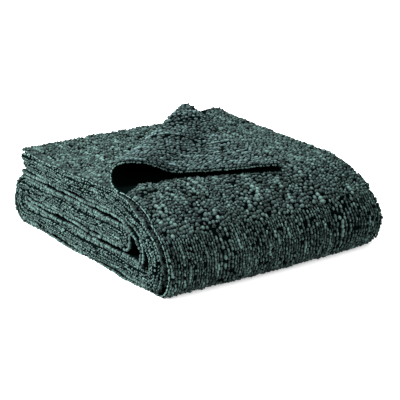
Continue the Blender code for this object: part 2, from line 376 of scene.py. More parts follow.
def leaned(x, y, z, level):
    """The front fold's far corner slumps back, and the folded side tucks in."""
    upper = np.clip(2 * level / STACK_HEIGHT, 0.0, 1.0)
    settling = LOW_SLUMP_SHARE + (1.0 - LOW_SLUMP_SHARE) * upper
    slump = CORNER_SLUMP * settling * np.clip(x / STACK_WIDTH, 0.0, 1.1) ** 3
    y = y + slump * smooth_step((SLUMP_FADE_Y - y) / SLUMP_FADE_Y)
    low = LOW_TUCK * np.clip(1.0 - level / LOW_TUCK_HEIGHT, 0.0, 1.0) ** 2
    over = (level - LOW_TUCK_HEIGHT) / (STACK_HEIGHT - LOW_TUCK_HEIGHT)
    high = HIGH_TUCK * np.clip(over, 0.0, 1.2) ** 2
    near_side = smooth_step((x - TUCK_START_X) / (STACK_WIDTH - TUCK_START_X))
    bulge = LOW_BULGE * np.clip(1.0 - level / LOW_BULGE_HEIGHT, 0.0, 1.0) * (1.0 - x / STACK_WIDTH)
    return x - (low + high) * near_side - bulge, y, z


def stations_across():
    """Share of the width, rank and reach past the edge of each station, with its panel's name."""
    found = []

    def panel(name, rank, shares):
        found.extend((share, rank, 0.0, name) for share in shares)

    def edge(name, share, first, last, steps, side):
        centre, radius = (first + last) / 2, (last - first) / 2
        for step in range(1, steps):
            angle = math.pi * step / steps
            reach = side * abs(radius) * LAYER_PITCH * math.sin(angle)
            found.append((share, centre - radius * math.cos(angle), reach, name))

    outer = np.linspace(0.0, 1.0, OUTER_PANEL_STEPS + 1)
    second = np.linspace(0.0, 1.0, SECOND_PANEL_STEPS + 1)
    panel("outer", 1, outer)
    edge("folded", 1.0, 1, 4, FOLD_STEPS["outer"], 1)
    panel("fourth", 4, HIDDEN_PANEL_SHARES[::-1])
    edge("open", 0.0, 4, 3, FOLD_STEPS["open"], -1)
    panel("third", 3, HIDDEN_PANEL_SHARES)
    edge("inner", 1.0, 3, 2, FOLD_STEPS["inner"], 1)
    panel("second", 2, second[::-1])
    return found


def stations_along():
    """(run, share, strand, name) from the outer strand's hem to the inner strand's hem."""
    runs = (
        ("top", top_run),
        ("front", front_turn),
        ("bottom", bottom_run),
        ("back", back_turn),
        ("middle", middle_run),
    )

    def strand_stations(strand, steps):
        found = []
        for name, run in runs:
            count = steps[name]
            found += [(run, step / count, strand, name) for step in range(count)]
        found.append((middle_run, 1.0, strand, "middle"))
        return found

    outer = strand_stations("outer", RUN_STEPS)
    count = RUN_STEPS["inner_end"]
    half = [(inner_turn, step / count, "outer", "inner_end") for step in range(1, count)]
    inner = strand_stations("inner", HIDDEN_RUN_STEPS)
    return outer + half + inner[::-1]


def open_edge(rank, distance):
    sway = np.sin(2 * math.pi * distance / WANDER_LENGTH + WANDER_TURN * rank)
    return column(ACROSS_COLUMNS, ACROSS_ROWS, "open_x", rank) + WANDER * sway


def roll_curve():
    """(length of cloth, way across the lift line, height) along the turned-back corner."""
    length, way, height, slope = [0.0], [0.0], [0.0], 0.0
    for _, bend_length, end_slope in BEND_ROWS:
        step = bend_length / STEPS_PER_BEND
        end = math.radians(end_slope)
        for number in range(STEPS_PER_BEND):
            here = slope + (end - slope) * (number + 0.5) / STEPS_PER_BEND
            length.append(length[-1] + step)
            way.append(way[-1] + step * math.cos(here))
            height.append(height[-1] + step * math.sin(here))
        slope = end
    return np.array(length), np.array(way), np.array(height)


def top_height(x, y):
    """The height of the outer layer's middle on top of the stack, down over the nose."""
    start, nose_y, nose_z = layer("turn_start_y", 1), layer("nose_y", 1), layer("nose_z", 1)
    flat = settled(x, y, top_level(1))
    brink = settled(x, start, top_level(1))
    past = np.clip((start - y) / (start - nose_y), 0.0, 1.0)
    fallen = nose_z + (brink - nose_z) * (1 - past**NOSE_ROUNDNESS) ** (1 / NOSE_ROUNDNESS)
    return np.where(y < start, fallen, flat)


def roll_frame():
    along = (math.cos(LIFT_LINE_ANGLE), math.sin(LIFT_LINE_ANGLE))
    return along, (-along[1], along[0])


def past_lift_line(x, y):
    _, away = roll_frame()
    return x * away[0] + (y - LIFT_LINE_Y) * away[1]


def corner_lift(x, y):
    (along_x, along_y), _ = roll_frame()
    along = x * along_x + (y - LIFT_LINE_Y) * along_y
    far = smooth_step((along - CORNER_LIFT_START) / (CORNER_LIFT_END - CORNER_LIFT_START))
    off = (past_lift_line(x, y) - CORNER_LIFT_PAST) / CORNER_LIFT_REACH
    return CORNER_LIFT * far * np.exp(-(off**2))


def turned_back(x, y, z):
    """Points of the flat top layer, carried round the roll where they are past the lift line."""
    (along_x, along_y), (away_x, away_y) = roll_frame()
    past = np.maximum(past_lift_line(x, y), 0.0)
    along = x * along_x + (y - LIFT_LINE_Y) * along_y
    length, way, height = roll_curve()
    moved = np.interp(past, length, way) - past
    share = column(ROLL_HEIGHT_COLUMNS, ROLL_HEIGHT_ROWS, "share", along)
    new_x, new_y = x + away_x * moved, y + away_y * moved
    fall = top_height(new_x, new_y) - top_height(x, y) + corner_lift(new_x, new_y)
    return new_x, new_y, z + fall + share * np.interp(past, length, height)


def under_flap(x, y, beside, behind):
    """Whether the flat top layer is covered there by the turned-back corner."""
    _, (away_x, away_y) = roll_frame()
    length, way, _ = roll_curve()
    here = past_lift_line(x, y)
    travel = way[-1] + length[-1] - 2 * here
    over_x, over_y = x + away_x * travel, y + away_y * travel
    front, back = layer("turn_start_y", 1), layer("hem_y", 1)
    reach = np.clip((over_y - front) / (back - front), 0.0, 1.0)
    edge = ACROSS_ROWS[0][1] - FREE_CORNER_FLARE * reach
    return (here < 0.0) & (over_x > edge + beside) & (over_y < back - behind)


class Cloth:
    """The folded sheet's middle surface as a grid, with its normals and its own lengths."""

    def __init__(self):
        across, along = stations_across(), stations_along()
        self.panel = np.array([station[3] for station in across])
        self.run = np.array([station[3] for station in along])
        self.strand = np.array([station[2] for station in along])
        share = np.array([station[0] for station in across])
        rank = np.array([station[1] for station in across])
        reach = np.array([station[2] for station in across])
        middle = self.grid(np.array([0.5]), np.array([2.5]), np.array([0.0]), along, None)
        steps = np.linalg.norm(np.diff(middle[0], axis=0), axis=1)
        distances = np.concatenate([[0.0], np.cumsum(steps)])
        points = self.grid(share, rank, reach, along, distances)
        self.flat = points[..., :2].copy()
        self.turn_corner_back(points, share)
        points -= np.array(PACKED_ORIGIN)
        self.crumple(points)
        self.puff(points)
        self.points = points
        self.along_way = np.gradient(points, axis=1)
        self.across_way = np.gradient(points, axis=0)
        normals = np.cross(self.across_way, self.along_way)
        lengths = np.linalg.norm(normals, axis=2, keepdims=True)
        self.normals = normals / np.maximum(lengths, 1e-12)
        self.lengths = self.cumulative(np.diff(points, axis=1), 1)
        reference = int(np.argmax(self.run == "bottom"))
        widths = self.cumulative(np.diff(points, axis=0), 0)
        self.width_at = widths[:, reference]

    @staticmethod
    def cumulative(steps, axis):
        sizes = np.linalg.norm(steps, axis=2)
        padding = [(0, 0), (0, 0)]
        padding[axis] = (1, 0)
        return np.pad(np.cumsum(sizes, axis=axis), padding)

    @staticmethod
    def grid(share, rank, reach, along, distances):
        points = np.zeros((len(share), len(along), 3))
        for j, (run, value, strand, _) in enumerate(along):
            distance = distances[j] if distances is not None else 0.0
            left = open_edge(rank, distance)
            right = column(ACROSS_COLUMNS, ACROSS_ROWS, "folded_x", rank)
            x = left + (right - left) * share + reach
            depth = rank if strand == "outer" else BUNDLE_LAYERS + 1 - rank
            y, z = run(x, depth, value)
            _, level = run(x, HALF_BUNDLE_MIDDLES[strand], value)
            for axis, values in enumerate(leaned(x, y, z, level)):
                points[:, j, axis] = values
        return points

    def turn_corner_back(self, points, share):
        """Flares the outer layer's top run at its open side, then rolls its corner back."""
        rows = np.flatnonzero(self.panel == "outer")
        columns = np.flatnonzero((self.run == "top") & (self.strand == "outer"))
        block = points[np.ix_(rows, columns)]
        x, y, z = block[..., 0], block[..., 1], block[..., 2]
        front, back = layer("turn_start_y", 1), layer("hem_y", 1)
        reach = np.clip((y - front) / (back - front), 0.0, 1.0)
        left = (1.0 - share[rows])[:, None]
        x = x - FREE_CORNER_FLARE * reach * left
        self.flat[np.ix_(rows, columns)] = np.stack([x, y], axis=-1)
        points[np.ix_(rows, columns)] = np.stack(turned_back(x, y, z), axis=-1)

    def crumple(self, points):
        """Small unevenness of a cloth that has been folded and used."""
        settings = bpy.context.scene.blanket_cloth
        size, depth = settings.crumple_size, settings.crumple_depth
        noise.seed_set(CRUMPLE_SEED)
        free = 1.0 - points[..., 0] / CRUMPLE_FADE_WIDTH - CRUMPLE_FADED
        free = np.clip(free, CRUMPLE_LEAST, 1.0)
        for i in range(points.shape[0]):
            for j in range(points.shape[1]):
                at = Vector(points[i, j]) / size
                push = noise.noise_vector(at)
                points[i, j] += np.array(push) * depth * free[i, j] * CRUMPLE_WAYS

    @staticmethod
    def puff(points):
        """Unevenness that each layer has by itself, most where its edge is free to swell."""
        settings = bpy.context.scene.blanket_cloth
        normals = np.cross(np.gradient(points, axis=0), np.gradient(points, axis=1))
        normals /= np.maximum(np.linalg.norm(normals, axis=2, keepdims=True), 1e-12)
        widths = Cloth.cumulative(np.diff(points, axis=0), 0)
        lengths = Cloth.cumulative(np.diff(points, axis=1), 1)
        from_left = points[..., 0] - points[..., 0].min()
        near_edge = smooth_step(1.0 - from_left / EDGE_FULL_WIDTH / 2)
        depth = settings.puff_depth * (PUFF_INSIDE_SHARE + (1.0 - PUFF_INSIDE_SHARE) * near_edge)
        for i in range(points.shape[0]):
            for j in range(points.shape[1]):
                at = Vector((widths[i, 0], lengths[0, j], 0.0)) / settings.puff_size
                points[i, j] += normals[i, j] * depth[i, j] * noise.noise(at)

    def at(self, i, j):
        """Position, normal, the two ways and the flat place of the cloth at grid places."""
        i0 = np.clip(np.floor(i).astype(int), 0, self.points.shape[0] - 2)
        j0 = np.clip(np.floor(j).astype(int), 0, self.points.shape[1] - 2)
        fi, fj = (i - i0)[:, None], (j - j0)[:, None]
        found = []
        for field in (self.points, self.normals, self.along_way, self.across_way, self.flat):
            low = field[i0, j0] * (1 - fj) + field[i0, j0 + 1] * fj
            high = field[i0 + 1, j0] * (1 - fj) + field[i0 + 1, j0 + 1] * fj
            found.append(low * (1 - fi) + high * fi)
        return found


def unit(vectors):
    return vectors / np.maximum(np.linalg.norm(vectors, axis=1, keepdims=True), 1e-12)


# Shader maths


class Value:
    """One socket in a material, with Python's operators as Math nodes."""

    def __init__(self, shading, socket):
        self.shading = shading
        self.socket = socket

    def _math(self, operation, *others):
        return self.shading.node("ShaderNodeMath", {"operation": operation}, self, *others)

    def __add__(self, other):
        return self._math("ADD", other)

    def __radd__(self, other):
        return self._math("ADD", other)

    def __sub__(self, other):
        return self._math("SUBTRACT", other)

    def __rsub__(self, other):
        return (self * -1.0) + other

    def __mul__(self, other):
        return self._math("MULTIPLY", other)

    def __rmul__(self, other):
        return self._math("MULTIPLY", other)

    def clamped(self):
        return self.shading.node("ShaderNodeClamp", {}, self)


class Shading:
    """A material's node tree, with one method that adds any node."""

    def __init__(self, name, roughness):
        self.material = bpy.data.materials.new(name)
        self.material.use_nodes = True
        self.tree = self.material.node_tree
        self.shader = self.tree.nodes["Principled BSDF"]
        self.shader.inputs["Roughness"].default_value = roughness
        self.shader.inputs["Specular IOR Level"].default_value = 0.0

    def node(self, kind, settings, *values, output=None, **named):
        """Any node: its settings first, then its sockets' values or links by place or by name."""
        node = self.tree.nodes.new(kind)
        for key, value in settings.items():
            setattr(node, key, value)
        for place, value in enumerate(values):
            self.feed(node.inputs[place], value)
        for name, value in named.items():
            self.feed(next(s for s in node.inputs if s.name == name and s.enabled), value)
        return Value(self, first_output(node) if output is None else node.outputs[output])

    def feed(self, socket, value):
        if isinstance(value, Value):
            self.tree.links.new(value.socket, socket)
        elif value is not None:
            socket.default_value = value

    def mix(self, share, first, second):
        return self.node("ShaderNodeMix", {"data_type": "RGBA"}, Factor=share, A=first, B=second)

    def noise(self, scale, detail=2.0):
        place = self.node("ShaderNodeTexCoord", {}, output="Object")
        return self.node("ShaderNodeTexNoise", {}, Vector=place, Scale=scale, Detail=detail)

    def attribute(self, name):
        return self.node("ShaderNodeAttribute", {"attribute_name": name}, output="Fac")

    def bump(self, height, strength):
        raised = self.node(
            "ShaderNodeBump", {}, Strength=strength, Distance=BUMP_DEPTH, Height=height
        )
        self.feed(self.shader.inputs["Normal"], raised)

    def colour(self, value):
        self.feed(self.shader.inputs["Base Color"], value)


def colour_of(settings, name):
    return (*getattr(settings, name), 1.0)


def shaded_ground_material(settings):
    """The flat ground of the weave, deep between the raised yarns, painted near black as the shade
    that falls there; the strips left bare beside the turned-back corner show it as painted shadow.
    """
    shading = Shading("weave_ground_shade", 1.0)
    fibre = shading.noise(GROUND_FIBRES)
    pit, ground = colour_of(settings, "pit_shade_colour"), colour_of(settings, "ground_shade_colour")
    shading.colour(shading.mix(fibre, pit, ground))
    shading.bump(fibre, GROUND_BUMP)
    return shading.material


def yarn_material(settings, name, light_name):
    """Fluffy cotton yarn: darker and lighter from yarn to yarn, and by the painted shade and light
    that its shade attribute carries, with a little fibre on it.
    """
    shading = Shading(name, YARN_ROUGHNESS)
    shade = shading.attribute("shade")
    fibre = shading.noise(YARN_FIBRES, detail=3.0)
    patch = shading.noise(YARN_PATCHES)
    lightness = shade * SHADE_SHARE + fibre * FIBRE_SHARE + patch * PATCH_SHARE - DARKER_BY
    dark, light = colour_of(settings, "dark_yarn_and_shade_colour"), colour_of(settings, light_name)
    shading.colour(shading.mix(lightness.clamped(), dark, light))
    shading.bump(fibre, YARN_BUMP)
    shading.shader.inputs["Sheen Weight"].default_value = settings.sheen
    shading.shader.inputs["Sheen Roughness"].default_value = SHEEN_ROUGHNESS
    return shading.material


# Yarns by Geometry Nodes


class Tree:
    """A Geometry Nodes tree under construction."""

    def __init__(self, name):
        self.group = bpy.data.node_groups.new(name, "GeometryNodeTree")
        self.identifiers = {}
        self.socket("Geometry", "NodeSocketGeometry")
        self.socket("Geometry", "NodeSocketGeometry", "OUTPUT")

    def socket(self, name, kind, way="INPUT"):
        made = self.group.interface.new_socket(name, in_out=way, socket_type=kind)
        if way == "INPUT":
            self.identifiers[name] = made.identifier
        return made

    def number(self, name, kind, default):
        self.socket(name, kind).default_value = default

    def node(self, kind, settings=None, **links):
        node = self.group.nodes.new(kind)
        for key, value in (settings or {}).items():
            setattr(node, key, value)
        for name, value in links.items():
            socket = next(s for s in node.inputs if s.name == name and s.enabled)
            if isinstance(value, bpy.types.NodeSocket):
                self.group.links.new(value, socket)
            else:
                socket.default_value = value
        return node


def yarn_tree():
    """Sets a short fat yarn on each point, turned and sized by the point's own attributes."""
    tree = Tree("short_yarns")
    tree.number("Sides", "NodeSocketInt", YARN_SIDES)
    tree.number("Rings", "NodeSocketInt", YARN_RINGS)
    tree.socket("Yarn", "NodeSocketMaterial")
    inputs = tree.node("NodeGroupInput").outputs
    outputs = tree.node("NodeGroupOutput")
    ball = tree.node(
        "GeometryNodeMeshUVSphere", Segments=inputs["Sides"], Rings=inputs["Rings"], Radius=0.5
    )
    laid = tree.node(
        "GeometryNodeTransform", Geometry=ball.outputs["Mesh"], Rotation=(0.0, math.pi / 2, 0.0)
    )
    smooth = tree.node("GeometryNodeSetShadeSmooth", Geometry=laid.outputs[0])
    vector = {"data_type": "FLOAT_VECTOR"}
    turn = tree.node("GeometryNodeInputNamedAttribute", vector, Name="turn")
    size = tree.node("GeometryNodeInputNamedAttribute", vector, Name="size")
    rotation = tree.node("FunctionNodeEulerToRotation", Euler=first_output(turn))
    placed = tree.node(
        "GeometryNodeInstanceOnPoints",
        Points=inputs["Geometry"],
        Instance=smooth.outputs[0],
        Rotation=rotation.outputs[0],
        Scale=first_output(size),
    )
    real = tree.node("GeometryNodeRealizeInstances", Geometry=placed.outputs[0])
    dressed = tree.node(
        "GeometryNodeSetMaterial", Geometry=real.outputs[0], Material=inputs["Yarn"]
    )
    tree.group.links.new(dressed.outputs[0], outputs.inputs[0])
    return tree


def first_output(node):
    return next(socket for socket in node.outputs if socket.enabled)


def euler_of(along, normal):
    """Euler angles that lay X along the yarn and stand Z on the cloth."""
    x = unit(along)
    y = unit(np.cross(normal, x))
    z = np.cross(x, y)
    return np.stack(
        [
            np.arctan2(y[:, 2], z[:, 2]),
            np.arcsin(np.clip(-x[:, 2], -1.0, 1.0)),
            np.arctan2(x[:, 1], x[:, 0]),
        ],
        axis=1,
    )


def paint_shade_by_height(mesh, centres, outward, sizes, shades):
    """Paints shade on each yarn, darkening it towards the ground that it stands in so that its top
    is the lightest, and flattens what meets the floor.
    """
    count = len(mesh.vertices)
    places = np.zeros(count * 3)
    mesh.vertices.foreach_get("co", places)
    places = places.reshape(-1, 3)
    owner = np.repeat(np.arange(len(centres)), count // len(centres))
    rise = np.sum((places - centres[owner]) * outward[owner], axis=1) / (sizes[owner, 2] / 2)
    shade = shades[owner] * smooth_step(YARN_FOOT_SHARE + (1.0 - YARN_FOOT_SHARE) * rise)
    mesh.attributes["shade"].data.foreach_set("value", shade.astype(np.float32))
    places[:, 2] = np.maximum(places[:, 2], 0.0)
    mesh.vertices.foreach_set("co", places.ravel())
    for name in ("turn", "size"):
        mesh.attributes.remove(mesh.attributes[name])


def yarns_piece(name, tree, material, points, outward, turns, sizes, shades):
    """A plain mesh of short yarns from their places, turns, sizes and shades."""
    mesh = bpy.data.meshes.new(name + "_places")
    mesh.from_pydata(points.tolist(), [], [])
    for key, values in (("turn", turns), ("size", sizes)):
        attribute = mesh.attributes.new(key, "FLOAT_VECTOR", "POINT")
        attribute.data.foreach_set("vector", values.astype(np.float32).ravel())
    attribute = mesh.attributes.new("shade", "FLOAT", "POINT")
    attribute.data.foreach_set("value", shades.astype(np.float32))
    places = bpy.data.objects.new(name + "_places", mesh)
    bpy.context.scene.collection.objects.link(places)
    modifier = places.modifiers.new("yarns", "NODES")
    modifier.node_group = tree.group
    modifier[tree.identifiers["Sides"]] = YARN_SIDES
    modifier[tree.identifiers["Rings"]] = YARN_RINGS
    modifier[tree.identifiers["Yarn"]] = material
    graph = bpy.context.evaluated_depsgraph_get()
    made = bpy.data.meshes.new_from_object(places.evaluated_get(graph))
    made.name = name
    bpy.data.objects.remove(places)
    # Painted shade: each yarn darker towards its foot, its top the lightest
    paint_shade_by_height(made, points, outward, sizes, shades)
    piece = bpy.data.objects.new(name, made)
    bpy.context.scene.collection.objects.link(piece)
    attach(piece, "root")
    return piece


class Weave:
    """Uneven staggered columns of yarns on parts of the cloth."""

    def __init__(
        self, cloth, settings, seed, fill, sway, slant=0.0, overlap=1.0, spacing=1.0, pits=1.0
    ):
        self.cloth = cloth
        self.settings = settings
        self.fill = fill
        self.sway = sway
        self.slant = slant
        self.overlap = overlap
        self.spacing = spacing
        self.pits = pits
        self.random = np.random.default_rng(seed)
        names = ("i", "j", "face", "side", "size", "shade", "lift", "turn")
        self.rows = {name: [] for name in names}

    def stations(self, name):
        found = np.flatnonzero(self.cloth.panel == name)
        return found[0], found[-1]

    def runs(self, name, strand="outer"):
        found = np.flatnonzero((self.cloth.run == name) & (self.cloth.strand == strand))
        return found[0], found[-1]

    def add(self, keep, **values):
        for name, value in values.items():
            self.rows[name].append(np.broadcast_to(value, (len(keep),) + np.shape(value)[1:])[keep])

    def columns(self, across, along, side, fineness, keep=None, lightness=0.0):
        """Fills the cloth between two widths across it, from one station to another along it."""
        place, end = across
        random, stagger, coarse, group = self.random, 0.0, 1.0, 0
        cloth_width = self.cloth.width_at[-1]
        while place < end:
            if group <= 0:
                group = random.integers(*COLUMN_GROUP)
                near_selvedge = min(place, cloth_width - place) < FINE_SELVEDGE
                coarse = random.choice(FINE_COLUMN_WIDTHS if near_selvedge else COLUMN_WIDTHS)
            group -= 1
            width = self.settings.yarn_pitch * fineness * coarse * random.uniform(*COLUMN_UNEVEN)
            place += width / 2
            stagger = 0.5 - stagger
            self.column(place, along, side, width, fineness, stagger, keep, lightness)
            place += width / 2

    def column(self, place, along, side, width, fineness, stagger, keep, lightness):
        """One column: its yarns' places along the cloth, then their sizes, shades and turns."""
        cloth, random, settings = self.cloth, self.random, self.settings
        numbers = np.arange(len(cloth.width_at))
        i = float(np.interp(place, cloth.width_at, numbers))
        low = min(int(i), len(numbers) - 2)
        lengths = cloth.lengths[low] * (low + 1 - i) + cloth.lengths[low + 1] * (i - low)
        start, end = lengths[along[0]], lengths[along[1]]
        pitch = settings.yarn_pitch * fineness
        usual = settings.yarn_length * fineness * (width / pitch) ** 0.5
        usual *= self.spacing
        count = int((end - start) / (usual * SHORTEST_STEP)) + SPARE_STEPS
        each = usual * random.uniform(*YARN_STEPS, count)
        centres = start + np.cumsum(each) - (1.0 - stagger) * usual
        chosen = (centres < end) & (centres > start)
        centres, each = centres[chosen], each[chosen]
        count = len(centres)
        if not count:
            return
        slub = np.zeros(count)
        for first in np.flatnonzero(random.random(count) < settings.slub_share):
            slub[first : first + random.integers(*SLUB_RUN)] = random.uniform(*SLUB_STRENGTHS)
        swing = np.where(np.arange(count) % 2, 1.0, -1.0)
        zigzag = swing * random.uniform(*ZIGZAG_SHARES, count) * self.sway
        spacing = np.interp(i, numbers, np.gradient(cloth.width_at))
        shift = (zigzag + random.normal(0.0, STRAY_ASIDE, count)) * width
        across = np.clip(i + shift / spacing, 0.0, len(numbers) - SHORT_OF_END)
        j = np.interp(centres, lengths, np.arange(len(lengths)))
        fat = 1.0 + SLUB_FATTER * slub + random.normal(0.0, FATNESS_SPREAD, count)
        fat = np.clip(fat, *FATNESS_LIMITS)
        long = each * (self.overlap + SLUB_LONGER * slub)
        wide = np.minimum(width, pitch * WIDEST_YARN) * self.fill
        high = settings.yarn_height * fineness
        kept = random.random(count) > settings.pit_share * self.pits
        if keep is not None:
            *_, flat = cloth.at(across, j)
            kept &= keep(*flat.T)
        # A yarn's shade is its own random tone and slub, plus its face's lightness, which is
        # painted light or painted shade
        shade = random.normal(USUAL_SHADE, SHADE_SPREAD, count) + SLUB_LIGHTER * slub + lightness
        lift = random.normal(0.0, LIFT_SPREAD, count) + SLUB_HIGHER * slub
        slant = self.slant * (1.0 if stagger else -1.0) - zigzag * ZIGZAG_TURN
        self.add(
            kept,
            i=across,
            j=j,
            face=np.zeros(count),
            side=np.full(count, side),
            size=np.stack([long, wide * fat, high * fat], axis=1),
            shade=np.clip(shade, 0.0, 1.0),
            lift=lift,
            turn=slant + random.normal(0.0, TURN_SPREAD, count),
        )

    def rim(self, face, fixed, side, start, end, fullness, lightness):
        """A row of yarns on a selvedge or a hem, between two grid places."""
        cloth, random, settings = self.cloth, self.random, self.settings
        line = cloth.points[fixed, :] if face == SELVEDGE else cloth.points[:, fixed]
        steps = np.linalg.norm(np.diff(line, axis=0), axis=1)
        lengths = np.concatenate([[0.0], np.cumsum(steps)])
        usual = settings.yarn_length * RIM_STEP
        count = int((lengths[end] - lengths[start]) / usual)
        centres = lengths[start] + (np.arange(count) + random.uniform(*RIM_PLACES, count)) * usual
        place = np.interp(centres, lengths, np.arange(len(lengths)))
        fixed_place = np.full(count, float(fixed))
        thick = settings.yarn_height * fullness * random.uniform(*RIM_FATNESS, count)
        long = usual * random.uniform(*RIM_LENGTHS, count)
        shade = random.normal(RIM_SHADE, RIM_SHADE_SPREAD, count) + lightness
        self.add(
            np.ones(count, bool),
            i=fixed_place if face == SELVEDGE else place,
            j=place if face == SELVEDGE else fixed_place,
            face=np.full(count, float(face)),
            side=np.full(count, side),
            size=np.stack([long, thick, thick], axis=1),
            shade=np.clip(shade, 0.0, 1.0),
            lift=random.normal(0.0, RIM_LIFT_SPREAD, count),
            turn=random.normal(0.0, RIM_TURN_SPREAD, count),
        )

    def piece(self, name, material):
        rows = {key: np.concatenate(values) for key, values in self.rows.items()}
        place, normal, along, across, _ = self.cloth.at(rows["i"], rows["j"])
        ways = np.stack([unit(normal), unit(across), unit(along)], axis=1)
        face = rows["face"].astype(int)
        each = np.arange(len(face))
        outward = ways[each, face] * rows["side"][:, None]
        forward = np.where(face[:, None] == HEM, ways[:, 1], ways[:, 2])
        sideways = np.cross(outward, forward)
        tip = self.random.normal(0.0, TIP_SPREAD, len(face))[:, None]
        direction = forward + (rows["turn"][:, None] * sideways) + tip * outward
        base = np.where(face == 0, SHEET_THICKNESS / 2 + YARN_STANDS * rows["size"][:, 2], 0.0)
        centres = place + outward * (base + rows["lift"])[:, None]
        turns = euler_of(direction, outward)
        return yarns_piece(
            name, MADE["tree"], material, centres, outward, turns, rows["size"], rows["shade"]
        )


# What the sidebar offers


def length(name, description, default):
    return bpy.props.FloatProperty(
        name=name, description=description, default=default, unit="LENGTH"
    )


def share(name, description, default):
    return bpy.props.FloatProperty(
        name=name, description=description, default=default, subtype="FACTOR"
    )


def colour(name, description, default):
    return bpy.props.FloatVectorProperty(
        name=name, description=description, default=default, subtype="COLOR"
    )


class BlanketCloth(bpy.types.PropertyGroup):
    crumple_size: length("Crumple size", "How far apart the soft humps lie", 0.045)
    crumple_depth: length("Crumple depth", "How far the cloth strays", 0.0016)
    puff_size: length("Puff size", "How far apart a layer's own swells lie", 0.030)
    puff_depth: length("Puff depth", "How far a layer swells by itself", 0.0034)
    yarn_pitch: length("Yarn pitch", "Distance between columns", 0.0059)
    yarn_length: length("Yarn length", "Length of one raised yarn", 0.0078)
    yarn_height: length("Yarn height", "Thickness of one raised yarn", 0.0044)
    pit_share: share("Pits", "Share of yarns that stay sunk in the ground", 0.07)
    slub_share: share("Slubs", "Share of yarns that start a slub", 0.035)
    sheen: share("Sheen", "Soft shine of the cotton's fluff", 0.06)
    # The pit and ground colours are painted shade between and beneath the raised yarns
    pit_shade_colour: colour("Pit colour", "Deep between the yarns", (0.0002, 0.0004, 0.0004))
    ground_shade_colour: colour("Ground colour", "The flat weave", (0.0009, 0.0024, 0.0022))
    # The dark yarn colour is the yarns' own darkest tone and the painted shade at their feet and in
    # the shaded strips
    dark_yarn_and_shade_colour: colour("Dark yarn", "Where the yarns are darkest", (0.0018, 0.0056, 0.0052))
    light_colour: colour("Light yarn", "Slubs and light yarns", (0.090, 0.157, 0.143))
    underside_colour: colour(
        "Light yarn below", "Light yarns of the other face", (0.095, 0.163, 0.160)
    )


MADE = {"pieces": []}


def cloth_in_hand():
    if "cloth" not in MADE:
        raise RuntimeError("the folded cloth comes before its yarns")
    return MADE["cloth"]


def weave_of(context, name):
    return Weave(cloth_in_hand(), context.scene.blanket_cloth, **WEAVES[name])


def keep_piece(weave, name, material="yarn"):
    MADE["pieces"].append(weave.piece(name, MADE["materials"][material]))


def make_materials(settings):
    MADE["materials"] = {
        "ground": shaded_ground_material(settings),
        "yarn": yarn_material(settings, "cotton_yarn", "light_colour"),
        "underside": yarn_material(settings, "cotton_yarn_underside", "underside_colour"),
    }
    MADE["tree"] = yarn_tree()


class BLANKET_OT_cloth(bpy.types.Operator):
    """Builds the folded sheet"""

    bl_idname = "blanket.cloth"
    bl_label = "Folded cloth"

    def execute(self, context):
        settings = context.scene.blanket_cloth
        cloth = Cloth()
        MADE["cloth"] = cloth
        half = (SHEET_THICKNESS + EDGE_FULLNESS * self.edge_share(cloth)) / 2
        faces_up = cloth.points + cloth.normals * half[..., None]
        faces_down = cloth.points - cloth.normals * half[..., None]
        for side in (faces_up, faces_down):
            side[..., 2] = np.maximum(side[..., 2], LOWEST_CLOTH)
        count_i, count_j = cloth.points.shape[:2]
        number = np.arange(count_i * count_j).reshape(count_i, count_j)
        corners = (number[:-1, :-1], number[1:, :-1], number[1:, 1:], number[:-1, 1:])
        quads = np.stack(corners, -1).reshape(-1, 4)
        below = quads[:, ::-1] + number.size
        edges = (number[:, 0], number[-1, 1:], number[::-1, -1][1:], number[0, ::-1][1:])
        rim = np.concatenate(edges)
        lower_rim = rim + number.size
        sides = np.stack([rim[1:], rim[:-1], lower_rim[:-1], lower_rim[1:]], -1)
        mesh = bpy.data.meshes.new("folded_cloth")
        points = np.concatenate([faces_up.reshape(-1, 3), faces_down.reshape(-1, 3)])
        mesh.from_pydata(points.tolist(), [], np.concatenate([quads, below, sides]).tolist())
        make_materials(settings)
        # The sheet wears the near-black ground: painted shade between the yarns and painted shadow
        # where it lies bare
        mesh.materials.append(MADE["materials"]["ground"])
        mesh.shade_smooth()
        piece = bpy.data.objects.new("folded_cloth", mesh)
        bpy.context.scene.collection.objects.link(piece)
        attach(piece, "root")
        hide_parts("folded_blanket")
        MADE["sheet"] = piece
        return {"FINISHED"}

    @staticmethod
    def edge_share(cloth):
        """1 at a selvedge or a fold of the open side, falling to 0 inside."""
        from_left = cloth.points[..., 0] - cloth.points[..., 0].min()
        return np.clip(1.0 - from_left / EDGE_FULL_WIDTH, 0.0, 1.0)


def clear_of_corner_and_painted_shade(x, y):
    """The top layer in the open: before the roll and clear of the turned-back corner, outside the
    strips beside them that are left bare or set with dark yarns as painted shadow.
    """
    return (past_lift_line(x, y) < ROLL_SHADE) & ~under_flap(x, y, -FLAP_SHADE, 0.0)


def in_shade(x, y):
    """The strip of the top layer just in front of the turned-back corner, clear of the roll's
    mouth, where small dark yarns stand as painted shadow.
    """
    # covered joins the flap's own cover to the bare strips of painted shadow beside it and in the
    # roll's mouth
    covered = under_flap(x, y, FLAP_BARE_SHADOW, 0.0) | (past_lift_line(x, y) > MOUTH_SHADE)
    return under_flap(x, y, -FLAP_SHADE, 0.0) & ~covered


def on_corner(x, y):
    return past_lift_line(x, y) > ROLL_OUTSIDE


def bared(x, y):
    """The second layer where the turned-back corner has left it bare."""
    return past_lift_line(x, y) > SECOND_BARED


